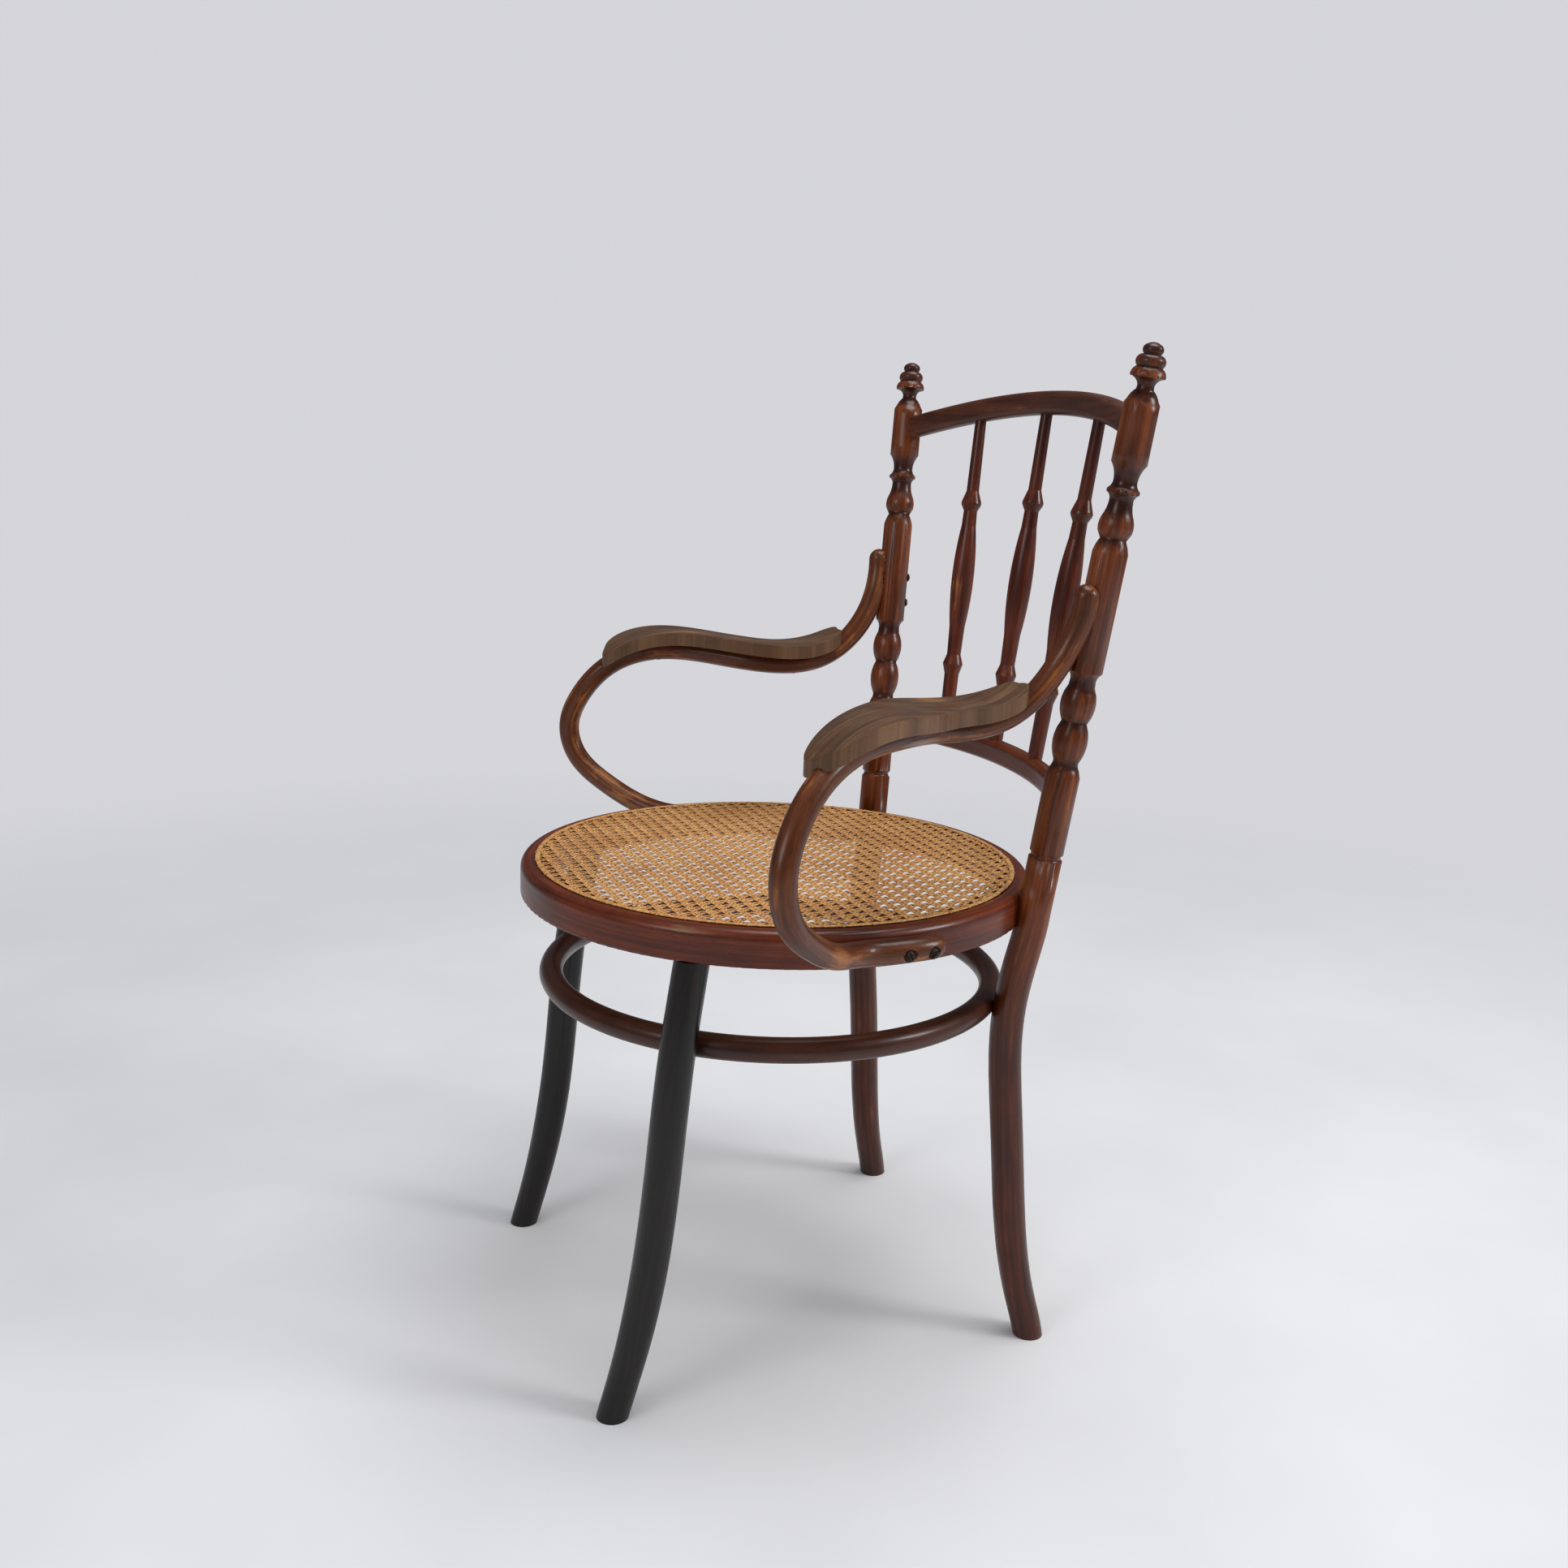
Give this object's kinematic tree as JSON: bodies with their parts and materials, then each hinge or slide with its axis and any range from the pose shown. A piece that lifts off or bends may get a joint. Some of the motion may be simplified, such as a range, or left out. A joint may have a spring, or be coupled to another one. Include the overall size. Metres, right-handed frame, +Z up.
{
  "type": "bentwood armchair",
  "caption": "Open bentwood armchair with a round hand-caned seat, turned back posts and spindles, looped arms with pads, and a hoop stretcher between the legs",
  "frame": {"origin": "on the floor, under the middle of the whole outline", "axes": "+Z up, the sitter faces -Y, the sitter's left hand is on +X"},
  "size_m": [0.654, 0.498, 0.8876],
  "materials": {
    "beech_brown": "brown stained beech under worn shellac",
    "beech_red": "red-brown stained beech under shellac, worn golden on the grips",
    "beech_worn": "brown stained beech, worn pale along its edges",
    "beech_dark": "near-black stained beech under shellac",
    "cane": "golden rattan cane with a glossy skin",
    "iron": "darkened slotted iron screws"
  },
  "bodies": {
    "root": {"back_post_left": "beech_brown", "back_post_right": "beech_brown", "top_rail": "beech_brown", "low_rail": "beech_brown", "spindle_left": "beech_brown", "spindle_centre": "beech_brown", "spindle_right": "beech_brown", "seat_ring": "beech_red", "arm_left": "beech_red", "arm_right": "beech_red", "arm_pad_left": "beech_worn", "arm_pad_right": "beech_worn", "front_leg_left": "beech_dark", "front_leg_right": "beech_dark", "stretcher_ring": "beech_dark", "cane_web": "cane", "cane_binder": "cane", "arm_post_screws": "iron", "arm_rim_screws": "iron", "pad_screws": "iron", "seat_screws": "iron", "stretcher_screws": "iron"}
  },
  "joints": []
}
